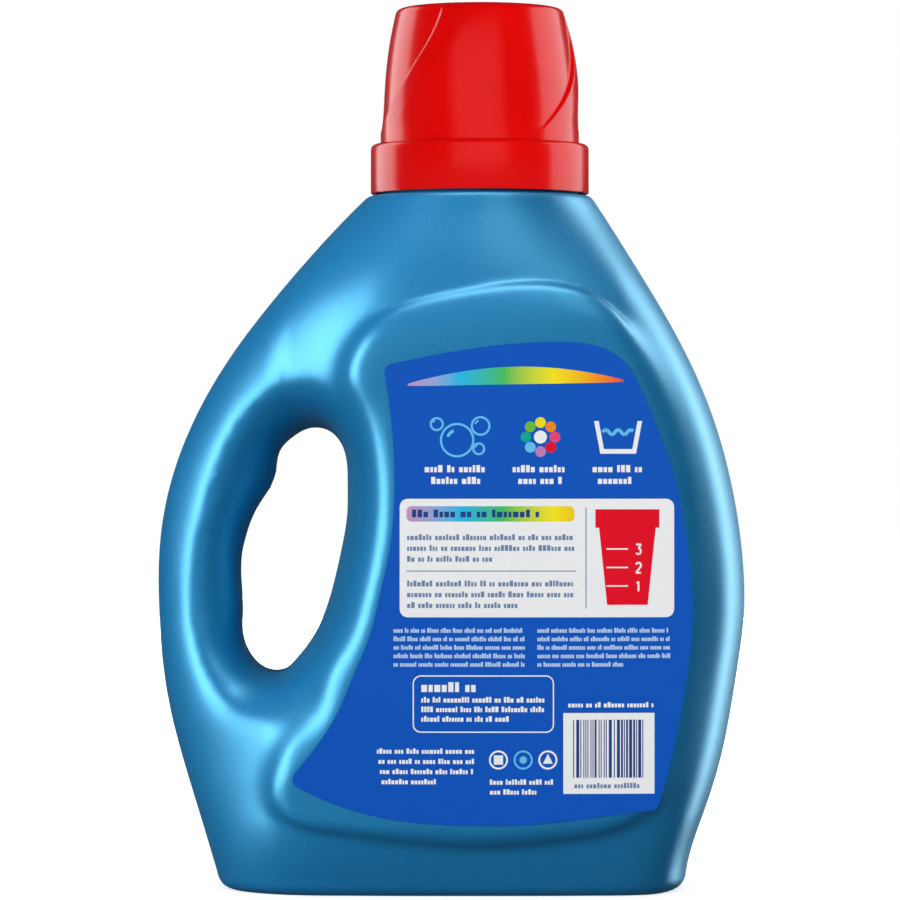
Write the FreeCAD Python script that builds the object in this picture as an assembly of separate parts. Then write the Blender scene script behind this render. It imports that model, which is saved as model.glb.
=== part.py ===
# A large blow-moulded laundry detergent bottle with a grip through its side and a measuring cap.
# It stands upright on the floor at z = 0. The printed panel faces -Y, the grip is at -X, and the neck is
# a little to the right of the middle. All sizes are in millimetres.

import FreeCAD, Part
import math
import os

Vector = FreeCAD.Vector
UP = Vector(0, 0, 1)

# Overall sizes of the blown body.
BODY_WIDTH = 196.4
BODY_DEPTH = 113.4
SHOULDER_HEIGHT = 231.3
WALL = 0.9
BASE_ROUND = 5.0
PUSH_UP_DEPTH = 4.0
FOOT_WIDTH = 15.0

# The two raised panels. Their faces curve one way only, so that a flat film lies on them.
PANEL_RISE = 1.9
PANEL_CURVE = 700.0
PANEL_MIDDLE_X = 15.0
PANEL_ROLL = 5.0
PANEL_TOP_ROLL = 13.0
PANEL_ROLL_DROP = 7.0

# The grip, the finger hole beside it, and how the body rolls into the hole.
GRIP_WIDTH = 28.2
HOLE_WIDTH = 35.4
HOLE_BOTTOM = 71.0
HOLE_HEIGHT = 82.4
GRIP_RISE = 16.0
FLANK_RISE = 58.0
GRIP_RUN = 14.0
FLANK_RUN = 18.0
END_RUN = 21.0
ROLL_LIMIT = 0.97
ROLL_SPREAD = 2.2

# The neck of the bottle and the flat shelf around it.
NECK_X = 9.7
SHELF_RADIUS = 37.0
NECK_RADIUS = 33.2
NECK_WALL = 1.8
NECK_HEIGHT = 14.0

# The pouring fitment in the neck.
FIT_GAP = 0.1
FLANGE_THICKNESS = 1.4
FLANGE_OVERHANG = 0.7
COLLAR_WALL = 1.9
COLLAR_DEPTH = 38.0
FLOOR_THICKNESS = 1.5
FLOOR_FALL = 4.0
SPOUT_RADIUS = 21.5
SPOUT_WALL = 1.3
SPOUT_HEIGHT = 54.0
SPOUT_SLANT = 12.0
DRAIN_WIDTH = 8.0

# The measuring cap.
CAP_SEAT_GAP = 0.4
RING_RADIUS = 36.6
RING_WALL = 1.6
RING_HEIGHT = 16.6
RING_ROUND = 1.8
CUP_RADIUS = 33.3
CUP_HEIGHT = 45.6
CUP_DRAW = 5.4
CUP_STRAIGHT = 13.7
CUP_ROUND = 3.0
CAP_WALL = 1.3
THREAD_GAP = 0.4
SKIRT_FLOOR_GAP = 1.0
INNER_CUP_TAPER = 1.8
SCOOP_COUNT = 3
SCOOP_DEPTH = 1.5
SCOOP_SPREAD = 36.0
SCOOP_TOP_ANGLE = -28.0
SCOOP_TURN = 52.0

# The printed film with its glue line, and the filling.
GLUE_LINE = 0.1
LABEL_THICKNESS = 0.15
LABEL_CORNER = 3.0
FILL_HEIGHT = 205.5
FILL_GAP = 0.3

# Level sections of the body: height as a share of the shoulder's height, left and right reach as shares of
# half the width, depth as a share of half the depth, depth of the grip side as a share of half the depth,
# place of the panel's left side as a share of half the width, and how round the section is. The first one
# lies where the rounded edge of the base ends.
BODY_STATIONS = [
    (0.000, -0.797, 0.801, 0.887, 0.592, -0.497, 0.00),
    (0.130, -0.876, 0.878, 0.985, 0.511, -0.530, 0.00),
    (0.216, -0.937, 0.934, 1.000, 0.406, -0.468, 0.00),
    (0.324, -0.986, 0.978, 1.000, 0.317, -0.346, 0.00),
    (0.424, -1.000, 1.000, 1.000, 0.280, -0.275, 0.00),
    (0.527, -0.987, 0.979, 1.000, 0.280, -0.244, 0.00),
    (0.631, -0.922, 0.927, 0.995, 0.310, -0.234, 0.00),
    (0.735, -0.800, 0.839, 0.975, 0.390, -0.244, 0.05),
    (0.821, -0.657, 0.736, 0.935, 0.494, -0.224, 0.25),
    (0.899, -0.504, 0.627, 0.850, 0.564, -0.163, 0.60),
    (0.960, -0.373, 0.538, 0.735, 0.582, -0.081, 0.90),
]

# Outline of a raised panel, as shares of half the width and of the shoulder's height.
PANEL_OUTLINE = [
    (-0.610, 0.160), (-0.560, 0.215), (-0.490, 0.275), (-0.430, 0.346), (-0.395, 0.432), (-0.385, 0.540),
    (-0.385, 0.649), (-0.375, 0.722), (-0.320, 0.788), (-0.190, 0.830), (0.000, 0.853), (0.173, 0.864),
    (0.346, 0.864), (0.468, 0.850), (0.570, 0.817), (0.662, 0.765), (0.733, 0.700), (0.794, 0.613),
    (0.830, 0.519), (0.838, 0.419), (0.820, 0.303), (0.779, 0.203), (0.705, 0.137), (0.580, 0.097),
    (0.367, 0.076), (0.102, 0.067), (-0.153, 0.074), (-0.387, 0.088), (-0.545, 0.110),
]

# Outline of the finger hole, as shares of its half width and half height from its middle.
HOLE_OUTLINE = [
    (0.403, 1.000), (0.763, 0.934), (0.950, 0.790), (0.995, 0.560), (0.990, 0.300), (0.885, 0.021),
    (0.700, -0.320), (0.450, -0.620), (0.070, -0.860), (-0.392, -1.000), (-0.760, -0.888), (-1.000, -0.686),
    (-0.928, -0.450), (-0.995, -0.190), (-0.945, 0.094), (-0.720, 0.361), (-0.405, 0.610), (-0.300, 0.800),
    (0.020, 0.940),
]

# Depths of the hole's sections, as shares of the flank's rise.
HOLE_LEVELS = [0.00, 0.11, 0.20, 0.27, 0.35, 0.50, 0.68, 0.83, 0.93, 0.99, 1.20]

# Sides of the printed film, as shares of half the width and of the shoulder's height. The top and the right
# are one smooth side.
LABEL_TOP_RIGHT = [
    (-0.224, 0.749), (0.076, 0.773), (0.340, 0.782), (0.440, 0.780), (0.519, 0.770), (0.581, 0.750),
    (0.634, 0.710), (0.694, 0.649), (0.740, 0.593), (0.773, 0.522), (0.796, 0.446), (0.799, 0.410),
    (0.793, 0.355), (0.773, 0.295), (0.740, 0.219), (0.680, 0.125),
]
LABEL_BOTTOM = [
    (0.680, 0.125), (0.466, 0.115), (0.251, 0.105), (0.070, 0.104), (-0.218, 0.114), (-0.353, 0.129),
    (-0.541, 0.165),
]
LABEL_LEFT = [
    (-0.541, 0.165), (-0.455, 0.209), (-0.386, 0.253), (-0.320, 0.316), (-0.270, 0.368), (-0.231, 0.434),
    (-0.204, 0.487), (-0.187, 0.565), (-0.198, 0.675), (-0.224, 0.749),
]

half_width = BODY_WIDTH / 2
half_depth = BODY_DEPTH / 2
rim_height = SHOULDER_HEIGHT + NECK_HEIGHT
neck_bore = NECK_RADIUS - NECK_WALL
collar_radius = neck_bore - FIT_GAP
collar_bore = collar_radius - COLLAR_WALL
flange_top = rim_height + FLANGE_THICKNESS
collar_bottom = flange_top - COLLAR_DEPTH
skirt_radius = collar_bore - THREAD_GAP
skirt_bottom = collar_bottom + FLOOR_FALL + FLOOR_THICKNESS + SKIRT_FLOOR_GAP
cap_bottom = SHOULDER_HEIGHT + CAP_SEAT_GAP
ring_top = cap_bottom + RING_HEIGHT
cap_top = ring_top + CUP_HEIGHT
draw_bottom = ring_top + CUP_STRAIGHT
draw_height = CUP_HEIGHT - CUP_STRAIGHT
draw_radius = (draw_height ** 2 + CUP_DRAW ** 2) / (2 * CUP_DRAW)
neck_axis = Vector(NECK_X, 0, 0)


def along(outline):
    """Turns shares of half the width and of the shoulder's height into points on the front view."""
    return [(x * half_width, z * SHOULDER_HEIGHT) for x, z in outline]


def outward_normals(points):
    """One unit normal for each point of a closed outline, pointing out of it."""
    middle_x = sum(x for x, z in points) / len(points)
    middle_z = sum(z for x, z in points) / len(points)
    normals = []
    for i, (x, z) in enumerate(points):
        before_x, before_z = points[i - 1]
        after_x, after_z = points[(i + 1) % len(points)]
        length = math.hypot(after_x - before_x, after_z - before_z)
        nx = (before_z - after_z) / length
        nz = (after_x - before_x) / length
        if (x - middle_x) * nx + (z - middle_z) * nz < 0:
            nx, nz = -nx, -nz
        normals.append((nx, nz))
    return normals


def spacing(points):
    """How far round a closed outline each point lies, from 0 at the first to 1 back at the first."""
    reached = [0.0]
    for i, (x, z) in enumerate(points):
        after_x, after_z = points[(i + 1) % len(points)]
        reached.append(reached[-1] + math.hypot(after_x - x, after_z - z))
    return [distance / reached[-1] for distance in reached]


def smoothed(points):
    """An outline without its small waves: each point is drawn towards its neighbours a few times."""
    for _ in range(3):
        calmer = []
        for i, (x, z) in enumerate(points):
            before_x, before_z = points[i - 1]
            after_x, after_z = points[(i + 1) % len(points)]
            calmer.append(((before_x + 2 * x + after_x) / 4, (before_z + 2 * z + after_z) / 4))
        points = calmer
    return points


def closed_curve(places, parameters):
    """A smooth closed wire through points in space. Wires of one loft share their parameters."""
    curve = Part.BSplineCurve()
    curve.interpolate(Points=places, PeriodicFlag=True, Parameters=parameters)
    return Part.Wire([curve.toShape()])


def body_section(height, left, right, depth, grip, panel, roundness):
    """One level section of the body: two mirrored curves that meet on the parting line."""
    corner = right - (right - left) / 8
    shaped = [
        (left, 0), (left, 0.45 * grip), (left + 0.10 * (panel - left), grip),
        (left + 0.62 * (panel - left), grip + 0.62 * (depth - grip)), (panel, 0.975 * depth),
        (panel + 0.45 * (corner - panel), depth), (corner, 0.985 * depth),
        (corner + 0.72 * (right - corner), 0.90 * depth), (right, 0.47 * depth), (right, 0),
    ]
    spans = len(shaped) - 3
    middle = (left + right) / 2
    reach = (right - left) / 2
    # Poles of a round section lie this much outside it.
    overshoot = 1.034
    circular = []
    for i in range(len(shaped)):
        turn = math.pi * min(max(i - 1, 0), spans) / spans
        circular.append((middle - overshoot * reach * math.cos(turn), overshoot * depth * math.sin(turn)))
    circular[0] = (left, 0)
    circular[1] = (left, 0.15 * depth)
    circular[-2] = (right, 0.15 * depth)
    circular[-1] = (right, 0)
    poles = []
    for (xa, ya), (xb, yb) in zip(shaped, circular):
        poles.append((xa + roundness * (xb - xa), ya + roundness * (yb - ya)))
    knots = list(range(spans + 1))
    repeats = [4] + [1] * (spans - 1) + [4]
    back = Part.BSplineCurve()
    back.buildFromPolesMultsKnots([Vector(x, y, height) for x, y in poles], repeats, knots, False, 3)
    front = Part.BSplineCurve()
    front.buildFromPolesMultsKnots([Vector(x, -y, height) for x, y in reversed(poles)], repeats, knots, False, 3)
    return Part.Wire([back.toShape(), front.toShape()])


def station_section(station, height, inset):
    """The section that one line of the stations gives, drawn in on every side."""
    share, left, right, depth, grip, panel, roundness = station
    depth_scale = half_depth - PANEL_RISE
    return body_section(
        height, left * half_width + inset, right * half_width - inset,
        depth * depth_scale - inset, grip * depth_scale - inset, panel * half_width, roundness)


def body_core(inset, hidden):
    """The body without its panels and hole, drawn in by the inset on every side."""
    sections = [station_section(BODY_STATIONS[0], BASE_ROUND, inset)]
    room = SHOULDER_HEIGHT - 2 * inset
    for station in BODY_STATIONS[1:]:
        sections.append(station_section(station, inset + station[0] * room, inset))
    shelf = SHELF_RADIUS - inset
    sections.append(body_section(
        inset + room, NECK_X - shelf, NECK_X + shelf, shelf, shelf, NECK_X, 1.0))
    core = Part.makeLoft(sections, True, hidden)
    # The rounded edge of the base is a quarter turn below the first station.
    radius = BASE_ROUND - inset
    edge = []
    for turn in range(0, 91, 45 if hidden else 15):
        narrowing = radius * (1 - math.sin(math.radians(turn)))
        height = inset + radius * (1 - math.cos(math.radians(turn)))
        edge.append(station_section(BODY_STATIONS[0], height, inset + narrowing))
    return core.fuse(Part.makeLoft(edge, True, True))


def raised_panel(inset, hidden):
    """The front panel, with a face curved one way and sides that roll in, most of all at its top."""
    outline = along(PANEL_OUTLINE)
    normals = outward_normals(outline)
    parameters = spacing(outline)
    sections = []
    for share in (-0.15, 0.15, 0.45, 1.0):
        places = []
        for (x, z), (nx, nz) in zip(outline, normals):
            roll = PANEL_ROLL + (PANEL_TOP_ROLL - PANEL_ROLL) * max(0, nz) ** 2
            narrowing = inset + roll * (1 - share) ** 2
            depth = inset - half_depth + share * PANEL_ROLL_DROP
            places.append(Vector(x - nx * narrowing, depth, z - nz * narrowing))
        sections.append(closed_curve(places, parameters))
    rolled = Part.makeLoft(sections, True, hidden)
    root = Part.Face(sections[-1]).extrude(Vector(0, half_depth / 2, 0))
    axis_point = Vector(PANEL_MIDDLE_X, PANEL_CURVE - half_depth, 0)
    face = Part.makeCylinder(PANEL_CURVE - inset, SHOULDER_HEIGHT, axis_point)
    return rolled.fuse(root).common(face)


def hole_points():
    """The finger hole's outline on the parting plane. The grip's width sets its place."""
    middle_x = -half_width + GRIP_WIDTH + HOLE_WIDTH / 2
    middle_z = HOLE_BOTTOM + HOLE_HEIGHT / 2
    return [(middle_x + x * HOLE_WIDTH / 2, middle_z + z * HOLE_HEIGHT / 2) for x, z in HOLE_OUTLINE]


def finger_hole(inset):
    """What is taken out of the body for the hole, its walls rolling outward from the parting plane."""
    points = hole_points()
    calm = smoothed(points)
    normals = outward_normals(calm)
    parameters = spacing(points)
    sections = []
    for level in HOLE_LEVELS:
        depth = level * FLANK_RISE
        places = []
        for (x, z), (calm_x, calm_z), (nx, nz) in zip(points, calm, normals):
            rise = GRIP_RISE + (FLANK_RISE - GRIP_RISE) * ((nx + 1) / 2) ** 0.8 - inset
            side_run = GRIP_RUN + (FLANK_RUN - GRIP_RUN) * (nx + 1) / 2
            run = side_run + (END_RUN - side_run) * nz * nz - inset
            climbed = min(depth / rise, ROLL_LIMIT)
            outward = 1 - math.sqrt(1 - climbed * climbed) + ROLL_SPREAD * (depth / rise - climbed)
            move = inset + run * outward
            # The waves that the fingers lie in fade away outward.
            wave = max(0, 1 - outward)
            places.append(Vector(
                calm_x + wave * (x - calm_x) + nx * move, depth, calm_z + wave * (z - calm_z) + nz * move))
        sections.append(closed_curve(places, parameters))
    back = Part.makeLoft(sections, True, False)
    return back.fuse(back.mirror(Vector(0, 0, 0), Vector(0, 1, 0)))


def push_up(inset):
    """The hollow under the base, which leaves a foot all round."""
    foot = station_section(BODY_STATIONS[0], 0, FOOT_WIDTH - inset)
    crown = station_section(BODY_STATIONS[0], PUSH_UP_DEPTH + inset, FOOT_WIDTH + 1.5 * PUSH_UP_DEPTH - inset)
    return Part.makeLoft([foot, crown], True, True)


def body_form(inset, hidden):
    """The whole blown form up to the shelf, drawn in by the inset. Where it is hidden, its body and panels
    run straight from section to section, which keeps them light."""
    front = raised_panel(inset, hidden)
    back = front.mirror(Vector(0, 0, 0), Vector(0, 1, 0))
    blown = body_core(inset, hidden).fuse(front).fuse(back)
    return blown.cut(finger_hole(inset)).cut(push_up(inset))


def upright_tube(radius, bottom, top):
    """A round bar about the neck's axis."""
    return Part.makeCylinder(radius, top - bottom, neck_axis + UP * bottom)


def make_bottle():
    outside = body_form(0, False).fuse(upright_tube(NECK_RADIUS, SHOULDER_HEIGHT - WALL, rim_height))
    inside = body_form(WALL, True).fuse(upright_tube(neck_bore, SHOULDER_HEIGHT - 3 * WALL, rim_height + WALL))
    return outside.cut(inside)


def make_detergent():
    """The filling follows the walls up to its level surface."""
    reach = 2 * BODY_WIDTH
    below = Part.makeBox(reach, reach, FILL_HEIGHT, Vector(-reach / 2, -reach / 2, 0))
    return body_form(WALL + FILL_GAP, True).common(below)


def make_pour_spout():
    flange = upright_tube(NECK_RADIUS + FLANGE_OVERHANG, rim_height, flange_top)
    collar = upright_tube(collar_radius, collar_bottom, flange_top)
    body = flange.fuse(collar).cut(upright_tube(collar_bore, collar_bottom - 1, flange_top + 1))
    # The floor falls towards the grip, so that what drips off the spout runs back.
    slope = math.degrees(math.atan2(FLOOR_FALL, 2 * collar_bore))
    floor = upright_tube(2 * collar_bore, 0, FLOOR_THICKNESS)
    floor.rotate(neck_axis, Vector(0, 1, 0), -slope)
    floor.translate(UP * (collar_bottom + FLOOR_FALL / 2))
    floor = floor.common(upright_tube(collar_bore + COLLAR_WALL / 2, collar_bottom, flange_top))
    spout_top = collar_bottom + SPOUT_HEIGHT
    spout = upright_tube(SPOUT_RADIUS, collar_bottom, spout_top)
    # The lip is highest away from the grip, where the bottle pours.
    lip_slope = math.degrees(math.atan2(SPOUT_SLANT, 2 * SPOUT_RADIUS))
    above = upright_tube(3 * SPOUT_RADIUS, 0, SPOUT_HEIGHT)
    above.rotate(neck_axis, Vector(0, 1, 0), -lip_slope)
    above.translate(UP * (spout_top - SPOUT_SLANT / 2))
    body = body.fuse([floor, spout.cut(above)])
    body = body.cut(upright_tube(SPOUT_RADIUS - SPOUT_WALL, collar_bottom - 1, spout_top + 1))
    drain_bottom = collar_bottom + FLOOR_THICKNESS
    drain = Part.makeBox(
        SPOUT_RADIUS, DRAIN_WIDTH, SPOUT_HEIGHT,
        Vector(NECK_X - SPOUT_RADIUS - 1, -DRAIN_WIDTH / 2, drain_bottom))
    return body.cut(drain)


def cup_radius(height):
    """Outside radius of the cap's cup: straight at first, then drawn in along one large arc."""
    climb = max(0, height - draw_bottom)
    return CUP_RADIUS - draw_radius + math.sqrt(draw_radius ** 2 - climb ** 2)


def beside_axis(radius, height):
    return Vector(NECK_X + radius, 0, height)


def cup_solid(bottom):
    """The cup's outside from a height up to its rounded top edge, as a solid of revolution."""
    arc_middle = CUP_RADIUS - draw_radius
    round_height = cap_top - CUP_ROUND
    lean = math.asin((round_height - draw_bottom) / (draw_radius - CUP_ROUND))
    round_middle = arc_middle + (draw_radius - CUP_ROUND) * math.cos(lean)
    tilt = (lean + math.pi / 2) / 2
    foot = beside_axis(CUP_RADIUS, bottom)
    straight_top = beside_axis(CUP_RADIUS, draw_bottom)
    half_way = beside_axis(
        arc_middle + draw_radius * math.cos(lean / 2), draw_bottom + draw_radius * math.sin(lean / 2))
    meeting = beside_axis(arc_middle + draw_radius * math.cos(lean), draw_bottom + draw_radius * math.sin(lean))
    on_round = beside_axis(
        round_middle + CUP_ROUND * math.cos(tilt), round_height + CUP_ROUND * math.sin(tilt))
    rim = beside_axis(round_middle, cap_top)
    edges = [
        Part.LineSegment(beside_axis(0, bottom), foot).toShape(),
        Part.LineSegment(foot, straight_top).toShape(),
        Part.Arc(straight_top, half_way, meeting).toShape(),
        Part.Arc(meeting, on_round, rim).toShape(),
        Part.LineSegment(rim, beside_axis(0, cap_top)).toShape(),
        Part.LineSegment(beside_axis(0, cap_top), beside_axis(0, bottom)).toShape(),
    ]
    return Part.Face(Part.Wire(edges)).revolve(neck_axis, UP, 360)


def scoop(number):
    """One twisted scoop of the cup: deepest at a step that winds round, fading away to one side."""
    rows = 7
    sections = []
    for i in range(rows):
        share = i / (rows - 1)
        height = cap_top - 1 - (CUP_HEIGHT - 5) * share
        edge = SCOOP_TOP_ANGLE - SCOOP_TURN * share
        depth = SCOOP_DEPTH * (1.25 * math.sin(math.pi * share) - 0.25)
        radius = cup_radius(height)
        beyond = CUP_RADIUS + 2 * SCOOP_DEPTH
        corners = []
        for turn, reach in (
                (0, radius - depth), (0.5, radius - 0.35 * depth), (1, radius + 0.2),
                (1, beyond), (0.5, beyond), (0, beyond)):
            angle = math.radians(edge - turn * SCOOP_SPREAD + number * 360 / SCOOP_COUNT)
            corners.append(Vector(NECK_X + reach * math.sin(angle), -reach * math.cos(angle), height))
        inner = Part.Arc(corners[0], corners[1], corners[2]).toShape()
        side = Part.LineSegment(corners[2], corners[3]).toShape()
        outer = Part.Arc(corners[3], corners[4], corners[5]).toShape()
        step = Part.LineSegment(corners[5], corners[0]).toShape()
        sections.append(Part.Wire([inner, side, outer, step]))
    return Part.makeLoft(sections, True, False)


def make_cap():
    ring = upright_tube(RING_RADIUS, cap_bottom, ring_top)
    ring = ring.makeFillet(RING_ROUND, [e for e in ring.Edges if e.BoundBox.ZMin > ring_top - 0.01])
    ring = ring.cut(upright_tube(RING_RADIUS - RING_WALL, cap_bottom - 1, ring_top - CAP_WALL))
    cup = cup_solid(ring_top - CAP_WALL)
    cup = cup.cut([scoop(number) for number in range(SCOOP_COUNT)])
    join = cap_top - CUP_HEIGHT / 4
    hollow = upright_tube(CUP_RADIUS - CAP_WALL, ring_top - 2 * CAP_WALL, draw_bottom)
    hollow = hollow.fuse(Part.makeCone(
        CUP_RADIUS - CAP_WALL, cup_radius(join) - CAP_WALL, join - draw_bottom, neck_axis + UP * draw_bottom))
    shell = ring.fuse(cup).cut(hollow)
    cup_floor = cap_top - 1.2 * CAP_WALL
    skirt = Part.makeCone(skirt_radius, skirt_radius - INNER_CUP_TAPER, join + 1 - ring_top, neck_axis + UP * ring_top)
    skirt = skirt.fuse(upright_tube(skirt_radius, skirt_bottom, ring_top))
    bore_radius = skirt_radius - CAP_WALL
    top_radius = min(bore_radius - INNER_CUP_TAPER, cup_radius(cup_floor) - CAP_WALL - CUP_ROUND / 2)
    bore = Part.makeCone(bore_radius, top_radius, cup_floor - ring_top, neck_axis + UP * ring_top)
    bore = bore.fuse(upright_tube(bore_radius, skirt_bottom - 1, ring_top))
    return shell.fuse(skirt).cut(bore)


def make_back_label():
    """A thin film that lies on the front panel's face."""
    edges = []
    for side in (LABEL_TOP_RIGHT, LABEL_BOTTOM, LABEL_LEFT):
        curve = Part.BSplineCurve()
        curve.interpolate([Vector(x, -BODY_DEPTH, z) for x, z in along(side)])
        edges.append(curve.toShape())
    prism = Part.Face(Part.Wire(edges)).extrude(Vector(0, BODY_DEPTH, 0))
    corners = [edge for edge in prism.Edges if edge.BoundBox.YLength > BODY_DEPTH / 2]
    prism = prism.makeFillet(LABEL_CORNER, corners)
    axis_point = Vector(PANEL_MIDDLE_X, PANEL_CURVE - half_depth, 0)
    under_film = PANEL_CURVE + GLUE_LINE
    film = Part.makeCylinder(under_film + LABEL_THICKNESS, SHOULDER_HEIGHT, axis_point)
    film = film.cut(Part.makeCylinder(under_film, SHOULDER_HEIGHT, axis_point))
    return prism.common(film)


def largest_solid(shape):
    return max(shape.Solids, key=lambda solid: solid.Volume)


os.makedirs("parts", exist_ok=True)
pieces = {
    "bottle": make_bottle,
    "pour_spout": make_pour_spout,
    "cap": make_cap,
    "back_label": make_back_label,
    "detergent": make_detergent,
}
for name, make in pieces.items():
    piece = largest_solid(make())
    piece.exportStep("parts/" + name + ".step")
    box = piece.BoundBox
    print(name, "valid" if piece.isValid() else "NOT VALID", "ml", round(piece.Volume / 1000, 1),
          "faces", len(piece.Faces), "z", round(box.ZMin, 2), round(box.ZMax, 2))
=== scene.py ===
"""Looks of a blue laundry detergent bottle with a red measuring cap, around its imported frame."""

import math
import random

import bmesh
import bpy
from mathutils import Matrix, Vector, geometry
from mathutils.bvhtree import BVHTree


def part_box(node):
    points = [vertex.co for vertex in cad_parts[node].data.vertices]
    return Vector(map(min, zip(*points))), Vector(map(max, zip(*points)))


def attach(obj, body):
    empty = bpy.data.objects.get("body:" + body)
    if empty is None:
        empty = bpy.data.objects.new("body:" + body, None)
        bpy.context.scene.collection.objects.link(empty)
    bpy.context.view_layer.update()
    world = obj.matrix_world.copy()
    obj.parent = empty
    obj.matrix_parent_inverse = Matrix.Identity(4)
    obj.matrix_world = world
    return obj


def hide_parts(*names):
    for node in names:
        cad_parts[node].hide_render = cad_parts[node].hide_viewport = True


MM = 0.001

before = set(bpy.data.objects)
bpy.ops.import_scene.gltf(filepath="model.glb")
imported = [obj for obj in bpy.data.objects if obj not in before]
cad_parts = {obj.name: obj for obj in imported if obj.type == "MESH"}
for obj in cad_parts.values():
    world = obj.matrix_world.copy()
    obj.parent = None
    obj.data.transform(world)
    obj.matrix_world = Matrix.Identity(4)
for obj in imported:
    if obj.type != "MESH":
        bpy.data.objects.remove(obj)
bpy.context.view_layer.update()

# Sizes of the CAD model that the looks follow, in metres.
BOTTLE_LOW, BOTTLE_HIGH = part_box("bottle")
CAP_LOW, CAP_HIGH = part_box("cap")
NECK_X = (CAP_LOW[0] + CAP_HIGH[0]) / 2
HALF_DEPTH = BOTTLE_HIGH[1]
RIM_HEIGHT = BOTTLE_HIGH[2]
WALL = 0.9 * MM
NECK_RADIUS = 33.2 * MM
NECK_BORE = 31.4 * MM
NECK_HEIGHT = 14.0 * MM
SHOULDER_HEIGHT = RIM_HEIGHT - NECK_HEIGHT
PANEL_CURVE = 700.0 * MM
PANEL_MIDDLE_X = 15.0 * MM
MERGE_DISTANCE = 0.01 * MM


def link(obj):
    bpy.context.scene.collection.objects.link(obj)
    return obj


def mesh_object(name, bm):
    """Turns a bmesh into a shaded object with outward normals."""
    bmesh.ops.recalc_face_normals(bm, faces=bm.faces)
    mesh = bpy.data.meshes.new(name)
    bm.to_mesh(mesh)
    bm.free()
    for polygon in mesh.polygons:
        polygon.use_smooth = True
    return link(bpy.data.objects.new(name, mesh))


def apply_modifiers(obj):
    """Replaces an object's mesh by what its modifiers make of it."""
    depsgraph = bpy.context.evaluated_depsgraph_get()
    mesh = bpy.data.meshes.new_from_object(obj.evaluated_get(depsgraph))
    obj.modifiers.clear()
    obj.data = mesh


# Materials

class Nodes:
    """Short ways to add nodes to one material."""

    def __init__(self, name):
        self.material = bpy.data.materials.new(name)
        self.material.use_nodes = True
        self.tree = self.material.node_tree
        self.shader = self.tree.nodes["Principled BSDF"]

    def add(self, kind, **settings):
        node = self.tree.nodes.new(kind)
        for key, value in settings.items():
            setattr(node, key, value)
        return node

    def join(self, source, target):
        self.tree.links.new(source, target)

    def feed(self, source, socket):
        """Joins a source to one of the shader's own sockets."""
        self.join(source, self.shader.inputs[socket])

    def value(self, socket, amount):
        """Writes a constant on one of the shader's own sockets."""
        self.shader.inputs[socket].default_value = amount

    def place(self):
        return self.add("ShaderNodeTexCoord").outputs["Object"]

    def noise(self, scale, detail):
        node = self.add("ShaderNodeTexNoise")
        node.inputs["Scale"].default_value = scale
        node.inputs["Detail"].default_value = detail
        self.join(self.place(), node.inputs["Vector"])
        return node.outputs["Fac"]

    def ramp(self, source, *stops):
        node = self.add("ShaderNodeValToRGB")
        elements = node.color_ramp.elements
        while len(elements) < len(stops):
            elements.new(0.5)
        for element, (position, colour) in zip(elements, stops):
            element.position = position
            element.color = (*colour, 1.0)
        self.join(source, node.inputs["Fac"])
        return node.outputs["Color"]

    def bump(self, *layers):
        """Each layer is a height source, a strength and a distance in metres."""
        normal = None
        for source, strength, distance in layers:
            node = self.add("ShaderNodeBump")
            node.inputs["Strength"].default_value = strength
            node.inputs["Distance"].default_value = distance
            self.join(source, node.inputs["Height"])
            if normal is not None:
                self.join(normal, node.inputs["Normal"])
            normal = node.outputs["Normal"]
        self.feed(normal, "Normal")

    def spread(self, source, low, high):
        """Stretches a value from 0..1 to low..high."""
        node = self.add("ShaderNodeMapRange")
        node.inputs["To Min"].default_value = low
        node.inputs["To Max"].default_value = high
        self.join(source, node.inputs["Value"])
        return node.outputs["Result"]


def bottle_plastic():
    """Polyethylene with a blue pearl pigment: satin, with fine flakes and a faint moulded skin."""
    m = Nodes("pearl_blue_plastic")
    flakes = m.noise(2600.0, 1.0)
    cloud = m.noise(28.0, 2.0)
    mix = m.add("ShaderNodeMixRGB", blend_type="MIX")
    mix.inputs["Fac"].default_value = 0.25
    flake_colour = m.ramp(flakes, (0.30, (0.002, 0.098, 0.250)), (0.75, (0.008, 0.160, 0.360)))
    cloud_colour = m.ramp(cloud, (0.35, (0.003, 0.112, 0.275)), (0.65, (0.005, 0.132, 0.310)))
    m.join(flake_colour, mix.inputs["Color1"])
    m.join(cloud_colour, mix.inputs["Color2"])
    m.feed(mix.outputs["Color"], "Base Color")
    m.feed(m.spread(flakes, 0.34, 0.46), "Roughness")
    m.value("Metallic", 0.25)
    m.value("IOR", 1.70)
    m.value("Specular IOR Level", 0.9)
    m.value("Specular Tint", (0.35, 0.95, 1.0, 1))
    skin = m.noise(900.0, 2.0)
    m.bump((flakes, 0.12, 0.00010), (skin, 0.10, 0.00008))
    return m.material


def cap_plastic():
    """Polished red polypropylene."""
    m = Nodes("gloss_red_plastic")
    cloud = m.noise(40.0, 2.0)
    m.feed(m.ramp(cloud, (0.3, (0.740, 0.0, 0.0)), (0.7, (0.800, 0.0, 0.0))), "Base Color")
    grain = m.noise(700.0, 2.0)
    m.feed(m.spread(grain, 0.16, 0.24), "Roughness")
    m.bump((grain, 0.04, 0.00005))
    return m.material


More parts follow.
